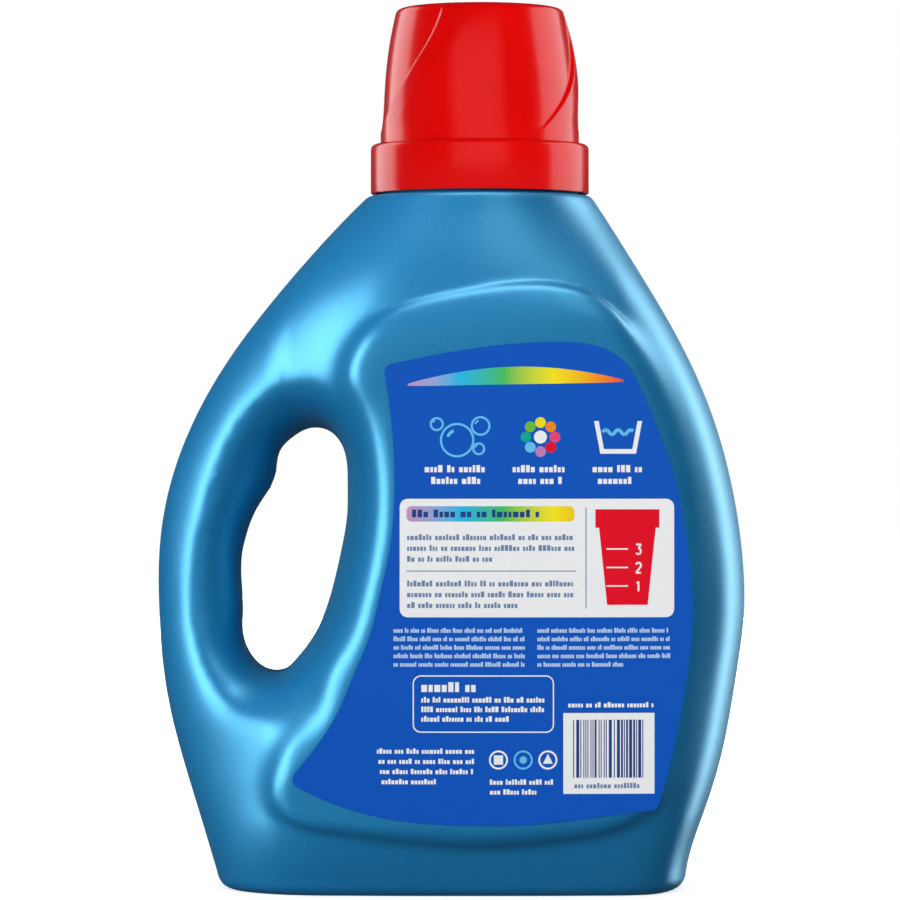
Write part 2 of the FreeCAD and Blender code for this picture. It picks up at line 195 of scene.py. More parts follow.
def spout_plastic():
    """Natural white polypropylene, a little see-through."""
    m = Nodes("natural_white_plastic")
    cloud = m.noise(60.0, 2.0)
    m.feed(m.ramp(cloud, (0.3, (0.80, 0.82, 0.83)), (0.7, (0.86, 0.87, 0.87))), "Base Color")
    grain = m.noise(600.0, 2.0)
    m.feed(m.spread(grain, 0.36, 0.48), "Roughness")
    m.value("Subsurface Weight", 0.15)
    m.value("Subsurface Radius", (0.002, 0.002, 0.002))
    m.bump((grain, 0.05, 0.00005))
    return m.material


def liquid():
    """Blue detergent."""
    m = Nodes("blue_liquid")
    cloud = m.noise(25.0, 1.0)
    m.feed(m.ramp(cloud, (0.3, (0.010, 0.110, 0.480)), (0.7, (0.014, 0.130, 0.530))), "Base Color")
    m.feed(m.spread(cloud, 0.04, 0.08), "Roughness")
    m.value("IOR", 1.38)
    return m.material


def print_colour(name, colour):
    """Ink under a satin film, with a faint print grain."""
    m = Nodes("print_" + name)
    grain = m.noise(1500.0, 1.0)
    low = tuple(0.96 * c for c in colour)
    m.feed(m.ramp(grain, (0.3, low), (0.7, colour)), "Base Color")
    m.feed(m.spread(grain, 0.42, 0.50), "Roughness")
    m.value("Specular IOR Level", 0.25)
    m.bump((grain, 0.03, 0.00003))
    return m.material


def print_rainbow(name, left, right):
    """A band whose ink runs through the rainbow from one side to the other."""
    m = Nodes("print_" + name)
    split = m.add("ShaderNodeSeparateXYZ")
    m.join(m.place(), split.inputs["Vector"])
    reach = m.add("ShaderNodeMapRange")
    reach.inputs["From Min"].default_value = left
    reach.inputs["From Max"].default_value = right
    m.join(split.outputs["X"], reach.inputs["Value"])
    colour = m.ramp(
        reach.outputs["Result"],
        (0.00, (0.58, 0.28, 0.52)), (0.24, (0.02, 0.46, 0.78)), (0.44, (0.06, 0.50, 0.10)),
        (0.66, (0.90, 0.78, 0.01)), (0.86, (0.90, 0.28, 0.01)), (1.00, (0.84, 0.01, 0.04)))
    m.feed(colour, "Base Color")
    grain = m.noise(1500.0, 1.0)
    m.feed(m.spread(grain, 0.42, 0.50), "Roughness")
    m.value("Specular IOR Level", 0.25)
    return m.material


# Bottle

VOXEL = 1.9 * MM
EVEN_STEPS = 10
SETTLE_STEPS = 3
FILM_CLEARANCE = 0.03 * MM
LATHE_SEGMENTS = 128


def outer_skin():
    """The bottle's outside below the neck, as a closed form cut from the CAD node."""
    bm = bmesh.new()
    bm.from_mesh(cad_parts["bottle"].data)
    bmesh.ops.remove_doubles(bm, verts=bm.verts, dist=MERGE_DISTANCE)
    rim = [f for f in bm.faces if min(v.co.z for v in f.verts) > RIM_HEIGHT - 0.1 * MM]
    bmesh.ops.delete(bm, geom=rim, context="FACES")
    bm.verts.ensure_lookup_table()
    start = max(bm.verts, key=lambda v: v.co.x)
    reached = {start}
    front = [start]
    while front:
        nearby = [e.other_vert(v) for v in front for e in v.link_edges]
        front = [v for v in set(nearby) if v not in reached]
        reached.update(front)
    bmesh.ops.delete(bm, geom=[v for v in bm.verts if v not in reached], context="VERTS")
    everything = bm.verts[:] + bm.edges[:] + bm.faces[:]
    level = SHOULDER_HEIGHT - 0.05 * MM
    cut = bmesh.ops.bisect_plane(
        bm, geom=everything, plane_co=(0, 0, level), plane_no=(0, 0, 1), clear_outer=True)
    loop = [g for g in cut["geom_cut"] if isinstance(g, bmesh.types.BMEdge)]
    bmesh.ops.holes_fill(bm, edges=loop, sides=0)
    return mesh_object("bottle_shell", bm)


def panel_depth(x):
    """How far from the parting plane a raised panel's face lies."""
    return HALF_DEPTH - PANEL_CURVE + math.sqrt(PANEL_CURVE ** 2 - (x - PANEL_MIDDLE_X) ** 2)


def ease(value, start, end):
    """Runs smoothly from 0 at the start to 1 at the end."""
    share = min(1.0, max(0.0, (value - start) / (end - start)))
    return share * share * (3 - 2 * share)


# Each pair gives where a share starts to grow and where it is full.
HANDLE_X = (-52.0 * MM, -62.0 * MM)
HANDLE_BOTTOM = (40.0 * MM, 60.0 * MM)
HANDLE_TOP = (205.0 * MM, 188.0 * MM)
HANDLE_DEPTH = (2.0 * MM, 9.0 * MM)
HANDLE_FULLNESS = 1.2 * MM
EDGE_BOTTOM = (24.0 * MM, 34.0 * MM)
EDGE_TOP = (192.0 * MM, 176.0 * MM)
CREASE_LEFT = (-24.0 * MM, -34.0 * MM)
CREASE_RIGHT = (54.0 * MM, 64.0 * MM)
CREASE_TOP = (222.0 * MM, 208.0 * MM)
BESIDE_FILM = (0.3 * MM, 3.5 * MM)
PANEL_FLANK = (26.0 * MM, 38.0 * MM)
EDGE_SOFT_STEPS = 60


def handle_share(place):
    """How much of a place belongs to the handle's two cheeks, from 0 to 1."""
    return (ease(place.x, *HANDLE_X) * ease(place.z, *HANDLE_BOTTOM) * ease(place.z, *HANDLE_TOP)
            * ease(abs(place.y), *HANDLE_DEPTH))


def add_smoothing(obj, name, steps):
    smooth = obj.modifiers.new(name, "SMOOTH")
    smooth.factor = 0.5
    smooth.iterations = steps
    return smooth


def soften(shell):
    """Rounds the handle's cheeks and the smooth left and right edges of the panels."""
    outline = [(x * MM, 0, z * MM) for x, z in label_outline()]
    film = BVHTree.FromPolygons(outline, [list(range(len(outline)))])
    group = shell.vertex_groups.new(name="soft")
    for v in shell.data.vertices:
        beside_film = film.find_nearest((v.co.x, 0, v.co.z))[3]
        off_crease = max(
            ease(v.co.z, *EDGE_TOP), ease(v.co.x, *CREASE_LEFT), ease(v.co.x, *CREASE_RIGHT))
        edge = (ease(beside_film, *BESIDE_FILM) * ease(abs(v.co.y), *PANEL_FLANK)
                * ease(v.co.z, *EDGE_BOTTOM) * ease(v.co.z, *CREASE_TOP) * off_crease)
        group.add([v.index], max(edge, handle_share(v.co)), "REPLACE")
    add_smoothing(shell, "edges", EDGE_SOFT_STEPS).vertex_group = group.name
    apply_modifiers(shell)
    shell.vertex_groups.clear()
    for v in shell.data.vertices:
        v.co.y += math.copysign(HANDLE_FULLNESS * handle_share(v.co), v.co.y)


def build_bottle():
    """An even skin on the CAD form, thickened inward, with a turned neck."""
    shell = outer_skin()
    true_form = link(bpy.data.objects.new("true_form", shell.data.copy()))
    remesh = shell.modifiers.new("even", "REMESH")
    remesh.mode = "VOXEL"
    remesh.voxel_size = VOXEL
    remesh.adaptivity = 0.0
    add_smoothing(shell, "even_out", EVEN_STEPS)
    back = shell.modifiers.new("back_to_form", "SHRINKWRAP")
    back.target = true_form
    back.wrap_method = "NEAREST_SURFACEPOINT"
    add_smoothing(shell, "settle", SETTLE_STEPS)
    apply_modifiers(shell)
    bpy.data.objects.remove(true_form)
    soften(shell)
    bm = bmesh.new()
    bm.from_mesh(shell.data)
    lowest = BOTTLE_LOW[2]
    for v in bm.verts:
        face = panel_depth(v.co.x) - FILM_CLEARANCE
        v.co.y = max(-face, min(face, v.co.y))
        v.co.z = max(v.co.z, lowest)
    # The shelf opens into the neck.
    shelf_level = SHOULDER_HEIGHT - 1.0 * MM
    top = [
        f for f in bm.faces
        if all(v.co.z > shelf_level and math.hypot(v.co.x - NECK_X, v.co.y) < NECK_RADIUS
               for v in f.verts)]
    bmesh.ops.delete(bm, geom=top, context="FACES")
    bm.to_mesh(shell.data)
    bm.free()
    walls = shell.modifiers.new("walls", "SOLIDIFY")
    walls.thickness = WALL
    walls.offset = -1.0
    apply_modifiers(shell)
    bm = bmesh.new()
    bm.from_mesh(shell.data)
    add_lathe(bm, NECK_X, [
        (NECK_BORE, SHOULDER_HEIGHT - 3.0 * MM), (NECK_RADIUS, SHOULDER_HEIGHT - 3.0 * MM),
        (NECK_RADIUS, SHOULDER_HEIGHT + 4.0 * MM), (NECK_RADIUS + 0.5 * MM, SHOULDER_HEIGHT + 4.6 * MM),
        (NECK_RADIUS + 0.5 * MM, SHOULDER_HEIGHT + 6.0 * MM), (NECK_RADIUS, SHOULDER_HEIGHT + 6.6 * MM),
        (NECK_RADIUS, RIM_HEIGHT - 0.5 * MM), (NECK_RADIUS - 0.5 * MM, RIM_HEIGHT),
        (NECK_BORE, RIM_HEIGHT)])
    bm.to_mesh(shell.data)
    bm.free()
    for polygon in shell.data.polygons:
        polygon.use_smooth = True
    return shell


def add_lathe(bm, axis_x, profile):
    """Turns a closed profile of radius and height about an upright axis and adds it to a bmesh."""
    rings = []
    for i in range(LATHE_SEGMENTS):
        angle = 2 * math.pi * i / LATHE_SEGMENTS
        rings.append([
            bm.verts.new((axis_x + r * math.sin(angle), -r * math.cos(angle), z)) for r, z in profile])
    for i, here in enumerate(rings):
        beside = rings[(i + 1) % len(rings)]
        for j in range(len(profile)):
            k = (j + 1) % len(profile)
            bm.faces.new((here[j], beside[j], beside[k], here[k]))


LIQUID_INSET = 2.0 * MM


def build_liquid():
    """The detergent, drawn in from its CAD node so that it stays behind the softened walls."""
    bm = bmesh.new()
    bm.from_mesh(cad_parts["detergent"].data)
    bmesh.ops.remove_doubles(bm, verts=bm.verts, dist=MERGE_DISTANCE)
    bmesh.ops.recalc_face_normals(bm, faces=bm.faces)
    for v in bm.verts:
        v.co -= v.normal * LIQUID_INSET
    return mesh_object("liquid_fill", bm)


# Cap

CAP_BOTTOM = SHOULDER_HEIGHT + 0.4 * MM
RING_RADIUS = 36.6 * MM
RING_WALL = 1.6 * MM
RING_TOP = CAP_BOTTOM + 16.6 * MM
RING_ROUND = 1.8 * MM
CUP_RADIUS = 33.3 * MM
CUP_HEIGHT = 45.6 * MM
CUP_DRAW = 5.4 * MM
CUP_STRAIGHT = 13.7 * MM
CUP_ROUND = 3.0 * MM
CAP_WALL = 1.3 * MM
CAP_TOP = RING_TOP + CUP_HEIGHT
DRAW_BOTTOM = RING_TOP + CUP_STRAIGHT
DRAW_RADIUS = ((CUP_HEIGHT - CUP_STRAIGHT) ** 2 + CUP_DRAW ** 2) / (2 * CUP_DRAW)
SKIRT_RADIUS = 28.2 * MM
SKIRT_BOTTOM = CAP_LOW[2]
INNER_CUP_TAPER = 1.8 * MM
SCOOP_COUNT = 3
SCOOP_DEPTH = 1.5 * MM
SCOOP_SPREAD = math.radians(100.0)
SCOOP_STEP = math.radians(3.0)
SCOOP_TOP_ANGLE = math.radians(-28.0)
SCOOP_TURN = math.radians(55.0)
SCOOP_HASTE = 1.6
SCOOP_FULLNESS = 0.6
SCOOP_TOP = CAP_TOP - 1.0 * MM
SCOOP_LENGTH = CUP_HEIGHT - 5.0 * MM
ROUND_STEPS = 7
OUTSIDE_ROWS = 34
INSIDE_ROWS = 12
MEASURES_BELOW_FLOOR = (56.0, 44.0, 33.0, 22.0)
WIDE_COLUMNS = 64
STEEP_COLUMNS = 10
CAP_SHARP_ANGLE = 38.0
THREAD_PITCH = 5.0 * MM
THREAD_HEIGHT = 0.8 * MM
THREAD_HALF = 0.9 * MM
THREAD_CREST = 0.35
THREAD_TURNS = 1.7
THREAD_STEPS = 72
THREAD_FADE = 12
THREAD_TIP = 0.03


def on_turn(radius, angle, height):
    """The place at a radius from the neck's axis, at an angle from the front, at a height."""
    return NECK_X + radius * math.sin(angle), -radius * math.cos(angle), height


def cup_radius(height):
    """Outside radius of the cup: straight at first, then drawn in along one large arc."""
    climb = max(0.0, height - DRAW_BOTTOM)
    return CUP_RADIUS - DRAW_RADIUS + math.sqrt(DRAW_RADIUS ** 2 - climb ** 2)


def along_scoop(height):
    """Where a height lies along the scoops, from 0 at their top to 1 at their foot."""
    return min(1.0, max(0.0, (SCOOP_TOP - height) / SCOOP_LENGTH))


def scoop_angle(height):
    """How far a step has wound round the cup at a height."""
    return SCOOP_TOP_ANGLE - SCOOP_TURN * along_scoop(height) ** SCOOP_HASTE


def scoop_depth(height, turn):
    """Depth of a scoop at an angle from its step, which is at 0 with the scoop on its negative side."""
    if not RING_TOP < height < SCOOP_TOP:
        return 0.0
    deepest = SCOOP_DEPTH * math.sin(math.pi * along_scoop(height)) ** SCOOP_FULLNESS
    if turn > 0:
        return deepest * (1 - ease(turn, 0.0, SCOOP_STEP))
    return deepest * max(0.0, 1 - (turn / SCOOP_SPREAD) ** 2)


def cap_outside():
    """Profile of the cap's outside, from the middle of its top to its lower edge."""
    points = [(0.0, CAP_TOP), (0.4 * CUP_RADIUS, CAP_TOP), (0.68 * CUP_RADIUS, CAP_TOP)]
    centre_height = CAP_TOP - CUP_ROUND
    lean = math.asin((centre_height - DRAW_BOTTOM) / (DRAW_RADIUS - CUP_ROUND))
    centre_radius = CUP_RADIUS - DRAW_RADIUS + (DRAW_RADIUS - CUP_ROUND) * math.cos(lean)
    for i in range(ROUND_STEPS + 1):
        angle = math.pi / 2 + (lean - math.pi / 2) * i / ROUND_STEPS
        points.append((
            centre_radius + CUP_ROUND * math.cos(angle), centre_height + CUP_ROUND * math.sin(angle)))
    top = points[-1][1]
    for i in range(1, OUTSIDE_ROWS + 1):
        height = top + (RING_TOP - top) * i / OUTSIDE_ROWS
        points.append((cup_radius(height), height))
    centre_radius = RING_RADIUS - RING_ROUND
    points.append((CUP_RADIUS + 0.3 * MM, RING_TOP))
    for i in range(ROUND_STEPS + 1):
        angle = math.pi / 2 * (1 - i / ROUND_STEPS)
        height = RING_TOP - RING_ROUND * (1 - math.sin(angle))
        points.append((centre_radius + RING_ROUND * math.cos(angle), height))
    points += [(RING_RADIUS, CAP_BOTTOM + 0.4 * MM), (RING_RADIUS - 0.15 * MM, CAP_BOTTOM + 0.1 * MM)]
    points.append((RING_RADIUS - 0.4 * MM, CAP_BOTTOM))
    return points


def cap_inside():
    """Profile of the cap's inside, from its lower edge up the gap, round the skirt and into the cup.
    Gives also how many of its points lie on the outer wall."""
    gap_top = CAP_TOP - CUP_HEIGHT / 4
    cup_floor = CAP_TOP - 1.2 * CAP_WALL
    bore = SKIRT_RADIUS - CAP_WALL
    top_bore = bore - INNER_CUP_TAPER

    def taper(radius, height):
        return radius - INNER_CUP_TAPER * max(0.0, (height - RING_TOP) / (cup_floor - RING_TOP))

    ring_bore = RING_RADIUS - RING_WALL
    points = [(ring_bore + 0.4 * MM, CAP_BOTTOM), (ring_bore, CAP_BOTTOM + 0.4 * MM)]
    points.append((ring_bore, RING_TOP - CAP_WALL))
    for i in range(INSIDE_ROWS + 1):
        height = RING_TOP - CAP_WALL + (gap_top - RING_TOP + CAP_WALL) * i / INSIDE_ROWS
        points.append((cup_radius(height) - CAP_WALL, height))
    wall_points = len(points)
    for i in range(INSIDE_ROWS + 1):
        height = gap_top + (RING_TOP - gap_top) * i / INSIDE_ROWS
        points.append((taper(SKIRT_RADIUS, height), height))
    points += [(SKIRT_RADIUS, SKIRT_BOTTOM + 0.5 * MM), (SKIRT_RADIUS - 0.4 * MM, SKIRT_BOTTOM)]
    points += [(bore + 0.4 * MM, SKIRT_BOTTOM), (bore, SKIRT_BOTTOM + 0.5 * MM)]
    for below_floor in MEASURES_BELOW_FLOOR:
        height = cup_floor - below_floor * MM
        radius = taper(bore, height)
        points += [(radius, height - 0.5 * MM), (radius - 0.3 * MM, height - 0.2 * MM)]
        points += [(radius - 0.3 * MM, height + 0.2 * MM), (radius, height + 0.5 * MM)]
    points += [(top_bore, cup_floor - 2.0 * MM), (top_bore - 0.6 * MM, cup_floor - 0.6 * MM)]
    points += [(top_bore - 2.0 * MM, cup_floor), (0.0, cup_floor)]
    return points, wall_points


def scoop_columns():
    """Angles of the cap's columns within one scoop's share of the circle, close together at the step."""
    share = 2 * math.pi / SCOOP_COUNT
    rest = share - SCOOP_STEP
    turns = [SCOOP_STEP - share + rest * i / WIDE_COLUMNS for i in range(1, WIDE_COLUMNS + 1)]
    return turns + [SCOOP_STEP * i / STEEP_COLUMNS for i in range(1, STEEP_COLUMNS + 1)]


def build_cap():
    bm = bmesh.new()
    outside = cap_outside()
    inside, wall_points = cap_inside()
    outer_wall = len(outside) - 1 + wall_points
    columns = []
    for number in range(SCOOP_COUNT):
        for turn in scoop_columns():
            column = []
            for i, (radius, height) in enumerate(outside[1:] + inside[:-1]):
                angle = number * 2 * math.pi / SCOOP_COUNT + turn + scoop_angle(height)
                if i < outer_wall:
                    radius -= scoop_depth(height, turn)
                column.append(bm.verts.new(on_turn(radius, angle, height)))
            columns.append(column)
    top = bm.verts.new((NECK_X, 0, outside[0][1]))
    floor = bm.verts.new((NECK_X, 0, inside[-1][1]))
    for i, column in enumerate(columns):
        beside = columns[(i + 1) % len(columns)]
        bm.faces.new((top, column[0], beside[0]))
        bm.faces.new((floor, beside[-1], column[-1]))
        for j in range(len(column) - 1):
            bm.faces.new((column[j], column[j + 1], beside[j + 1], beside[j]))
    add_thread(bm, SKIRT_RADIUS - 0.1 * MM, THREAD_HEIGHT + 0.1 * MM, SKIRT_BOTTOM + 2.5 * MM, 0.0)
    cap = mesh_object("cap_shell", bm)
    sharp_by_angle(cap, CAP_SHARP_ANGLE)
    return cap


def add_thread(bm, radius, height, start, turn):
    """A tapered ridge that winds up about the neck's axis. A negative height stands inward."""
    steps = int(THREAD_STEPS * THREAD_TURNS)
    crest = THREAD_CREST * THREAD_HALF
    rows = []
    for i in range(steps + 1):
        share = i / steps
        fade = min(1.0, THREAD_FADE * share, THREAD_FADE * (1 - share)) * (1 - THREAD_TIP) + THREAD_TIP
        angle = turn + 2 * math.pi * THREAD_TURNS * share
        middle = start + THREAD_PITCH * THREAD_TURNS * share
        out = height * fade
        section = ((0, -THREAD_HALF), (out, -crest), (out, crest), (0, THREAD_HALF))
        rows.append([
            bm.verts.new(on_turn(radius + reach, angle, middle + rise)) for reach, rise in section])
    for row, beyond in zip(rows, rows[1:]):
        for j in range(4):
            k = (j + 1) % 4
            bm.faces.new((row[j], row[k], beyond[k], beyond[j]))
    bm.faces.new(rows[0])
    bm.faces.new(rows[-1])


def sharp_by_angle(obj, degrees):
    """Marks the edges that turn more than an angle, so that they stay crisp under smooth shading."""
    limit = math.radians(degrees)
    bm = bmesh.new()
    bm.from_mesh(obj.data)
    for edge in bm.edges:
        if len(edge.link_faces) == 2 and edge.calc_face_angle(0.0) > limit:
            edge.smooth = False
    bm.to_mesh(obj.data)
    bm.free()


# Printed film

LABEL_LIFT = 0.25 * MM
LABEL_FILM = 0.15 * MM
# A grid of points, in millimetres, keeps the film on the panel's curve.
GRID_X = [4.0 * i for i in range(-13, 22)]
GRID_Z = [12.0 * j for j in range(1, 16)]
CUT_TOLERANCE = 0.0005
BLUE = (0.000, 0.088, 0.500)
WHITE = (0.860, 0.870, 0.880)
NAVY = (0.010, 0.050, 0.230)
GREY_BLUE = (0.150, 0.240, 0.400)
PALE_BLUE = (0.450, 0.600, 0.840)
SKY = (0.130, 0.520, 0.860)
RED = (0.780, 0.000, 0.015)
PINK = (0.800, 0.060, 0.180)
GREEN = (0.150, 0.500, 0.040)
TEAL = (0.000, 0.380, 0.300)
YELLOW = (0.850, 0.700, 0.010)
ORANGE = (0.850, 0.250, 0.010)
LILAC = (0.500, 0.220, 0.480)


def disc(x, z, radius, points=28):
    turns = [2 * math.pi * i / points for i in range(points)]
    return [(x + radius * math.cos(t), z + radius * math.sin(t)) for t in turns]


def sector(x, z, inner, outer, start, end, points=8):
    """A slice of a ring between two angles in degrees."""
    turns = [math.radians(start + (end - start) * i / points) for i in range(points + 1)]
    rim = [(x + outer * math.cos(t), z + outer * math.sin(t)) for t in turns]
    return rim + [(x + inner * math.cos(t), z + inner * math.sin(t)) for t in reversed(turns)]


def rounded(left, low, right, high, radius, points=5):
    corners = [(right - radius, high - radius, 0), (left + radius, high - radius, 90),
               (left + radius, low + radius, 180), (right - radius, low + radius, 270)]
    outline = []
    for x, z, start in corners:
        for i in range(points + 1):
            turn = math.radians(start + 90 * i / points)
            outline.append((x + radius * math.cos(turn), z + radius * math.sin(turn)))
    return outline


def block(left, low, right, high):
    return [(left, low), (right, low), (right, high), (left, high)]


def stepped(outline, longest=4.0):
    """An outline with points along its long sides, so that it can follow the panel's curve."""
    points = []
    for i, (xa, za) in enumerate(outline):
        xb, zb = outline[(i + 1) % len(outline)]
        parts = max(1, math.ceil(abs(xb - xa) / longest))
        points += [(xa + (xb - xa) * j / parts, za + (zb - za) * j / parts) for j in range(parts)]
    return points


class Print:
    """The shapes printed on the film, in millimetres on the panel, later ones over earlier ones."""

    def __init__(self):
        self.shapes = []
        self.dice = random.Random(7)

    def add(self, ink, outline):
        self.shapes.append((ink, stepped(outline)))

    def line(self, ink, left, right, low, height, letter, gap=0.30):
        """A line of greeked text: letter-sized blocks set in words."""
        x = left
        while x < right - letter:
            count = self.dice.randint(2, 8)
            for _ in range(count):
                wide = letter * self.dice.uniform(0.65, 1.2)
                if x + wide > right:
                    return
                rise = height if self.dice.random() < 0.25 else 0.72 * height
                self.add(ink, block(x, low, x + wide, low + rise))
                x += wide + gap * letter
            x += 0.9 * letter

    def centred(self, ink, middle, width, low, height, letter):
        self.line(ink, middle - width / 2, middle + width / 2, low, height, letter)

    def stroke(self, ink, points, width):
        """A band of even width along points."""
        for (xa, za), (xb, zb) in zip(points, points[1:]):
            length = math.hypot(xb - xa, zb - za)
            nx = -(zb - za) / length * width / 2
            nz = (xb - xa) / length * width / 2
            ends = [(xa + nx, za + nz), (xa - nx, za - nz), (xb - nx, zb - nz), (xb + nx, zb + nz)]
            self.add(ink, ends)


def ribbon(left, right, steps=40):
    """A band that swells and dips from side to side."""
    top = []
    bottom = []
    for i in range(steps + 1):
        share = i / steps
        x = left + (right - left) * share
        middle = 166.0 + 3.2 * math.sin(2.6 * share + 0.3) + 1.5 * share
        half = 0.25 + 2.6 * math.sin(math.pi * share) ** 0.8
        top.append((x, middle + half))
        bottom.append((x, middle - half))
    return bottom + top[::-1]


def number(shapes, ink, figure, x, z, height):
    """A plain figure made of strokes in a box two units wide and four high."""
    unit = height / 4
    strokes = {
        1: [[(0.4, 3.2), (1, 4), (1, 0)]],
        2: [[(0, 3.4), (0.5, 4), (1.5, 4), (2, 3.4), (2, 2.6), (0, 0), (2, 0)]],
        3: [[(0, 4), (2, 4), (1, 2.4), (1.7, 2.2), (2, 1.5), (1.8, 0.4), (1, 0), (0, 0.4)]],
    }[figure]
    for points in strokes:
        shapes.stroke(ink, [(x + unit * px, z + unit * pz) for px, pz in points], 0.75 * unit)


def print_layout():
    """A generic care panel: ribbon, three plain signs, a dosing panel, fine print and a bar pattern."""
    p = Print()
    p.add("rainbow", ribbon(-14.0, 56.0))
    # Bubbles.
    for x, z, radius in ((2.0, 149.0, 5.6), (9.6, 153.6, 3.2), (9.0, 146.2, 2.1), (-4.6, 154.2, 2.3)):
        p.add("sky", disc(x, z, radius))
        p.add("blue", disc(x, z, radius - 0.7))
        p.add("sky", sector(x, z, radius * 0.48, radius * 0.66, 110, 160))
    # A flower of coloured petals.
    petals = ["pink", "orange", "yellow", "green", "teal", "sky", "lilac", "red"]
    for i, ink in enumerate(petals):
        angle = 2 * math.pi * i / len(petals)
        p.add(ink, disc(29.0 + 4.7 * math.cos(angle), 150.0 + 4.7 * math.sin(angle), 1.75, 18))
    p.add("white", disc(29.0, 150.0, 2.1, 20))
    # A wash tub with water.
    tub = [(46.4, 155.2), (48.4, 144.6), (60.0, 144.6), (62.0, 155.2), (60.5, 155.2), (58.8, 146.1),
           (49.6, 146.1), (47.9, 155.2)]
    p.add("white", tub)
    wave = [(49.2 + 0.7 * i, 151.6 + 0.9 * math.sin(1.1 * i)) for i in range(15)]
    p.stroke("sky", wave, 1.1)
    for middle, width in ((2.0, 21.0), (29.0, 18.0), (54.4, 17.0)):
        p.centred("white", middle, width, 138.6, 2.3, 1.25)
        p.centred("white", middle, 0.8 * width, 134.8, 2.3, 1.25)
    # Dosing panel: text on the left, a measuring cup on the right.
    p.add("white", rounded(-16.6, 91.6, 72.4, 130.0, 2.6))
    p.add("rainbow", rounded(-14.4, 122.6, 40.0, 127.6, 1.6))
    p.line("navy", -12.6, 30.0, 124.0, 2.5, 1.5)
    for low in (116.6, 113.1, 109.6):
        p.line("grey", -14.2, 40.0 if low > 110 else 14.0, low, 1.9, 0.95)
    p.add("grey", block(-14.4, 106.4, 40.4, 106.75))
    for low in (101.6, 98.1, 94.6):
        p.line("grey", -14.2, 40.0 if low > 95 else 22.0, low, 1.9, 0.95)
    p.add("grey", block(43.6, 94.4, 43.95, 127.2))
    cup = [(50.6, 95.6), (63.8, 95.6), (66.4, 120.6), (67.6, 120.6), (67.6, 126.6), (46.8, 126.6),
           (46.8, 120.6), (48.0, 120.6)]
    p.add("red", cup)
    for figure, low in ((1, 100.2), (2, 106.2), (3, 112.2)):
        p.add("white", block(50.4, low + 1.3, 57.4, low + 1.75))
        number(p, "white", figure, 60.0, low - 0.2, 3.2)
    # Fine print in two columns.
    for i in range(5):
        low = 86.6 - 2.75 * i
        p.line("pale", -18.6, 24.0, low, 1.55, 0.62, 0.22)
        p.line("pale", 28.0, 71.2 if i < 4 else 56.0, low, 1.55, 0.62, 0.22)
    # A framed note.
    p.add("white", rounded(-12.4, 54.2, 33.4, 72.8, 2.6))
    p.add("blue", rounded(-12.0, 54.6, 33.0, 72.4, 2.2))
    p.line("white", -9.6, 10.0, 67.4, 3.2, 1.7)
    for i in range(3):
        p.line("white", -9.6, 30.6 if i < 2 else 20.0, 64.0 - 3.1 * i, 1.8, 0.85)
    # A plain bar pattern.
    p.add("white", block(36.4, 34.4, 66.0, 60.6))
    x = 39.6
    while x < 62.4:
        wide = p.dice.choice((0.33, 0.33, 0.66, 0.99))
        p.add("navy", block(x, 39.6, x + wide, 58.4))
        x += wide + p.dice.choice((0.33, 0.33, 0.66))
    p.line("grey", 40.0, 62.6, 36.2, 1.7, 0.9)
    p.line("white", 38.0, 66.0, 62.4, 1.7, 0.85)
    # Small text and plain rings beside it.
    for i in range(4):
        p.line("white", -24.0 + 0.5 * i, 8.0 if i != 3 else -4.0, 47.4 - 3.3 * i, 1.7, 0.85)
    for x, ink in ((15.4, "white"), (23.4, "sky"), (31.4, "white")):
        p.add(ink, disc(x, 45.4, 3.1))
        p.add("blue", disc(x, 45.4, 2.5))
    p.add("white", block(13.9, 43.9, 16.9, 46.9))
    p.add("sky", disc(23.4, 45.4, 1.2, 16))
    p.add("white", [(29.8, 44.2), (33.0, 44.2), (31.4, 47.4)])
    for i in range(2):
        p.line("white", 12.6, 34.0 if i == 0 else 28.0, 37.4 - 3.2 * i, 1.7, 0.85)
    return p.shapes


def label_outline():
    """The film's outline, as the CAD node's front face has it."""
    bm = bmesh.new()
    bm.from_mesh(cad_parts["back_label"].data)
    bmesh.ops.remove_doubles(bm, verts=bm.verts, dist=MERGE_DISTANCE)
    front = {f for f in bm.faces if f.normal.y < -0.9}
    rim = [e for e in bm.edges if sum(f in front for f in e.link_faces) == 1]
    after = {}
    for edge in rim:
        a, b = edge.verts
        after.setdefault(a, []).append(b)
        after.setdefault(b, []).append(a)
    start = min(after, key=lambda v: v.co.z)
    loop = [start]
    before, here = None, start
    while True:
        beyond = [v for v in after[here] if v is not before][0]
        if beyond is start:
            break
        loop.append(beyond)
        before, here = here, beyond
    points = [(v.co.x / MM, v.co.z / MM) for v in loop]
    bm.free()
    return points


def inside_outline(x, z, outline):
    """Whether a point lies in a closed outline."""
    inside = False
    for i, (xa, za) in enumerate(outline):
        xb, zb = outline[i - 1]
        if (za > z) != (zb > z) and x < (xb - xa) * (z - za) / (zb - za) + xa:
            inside = not inside
    return inside


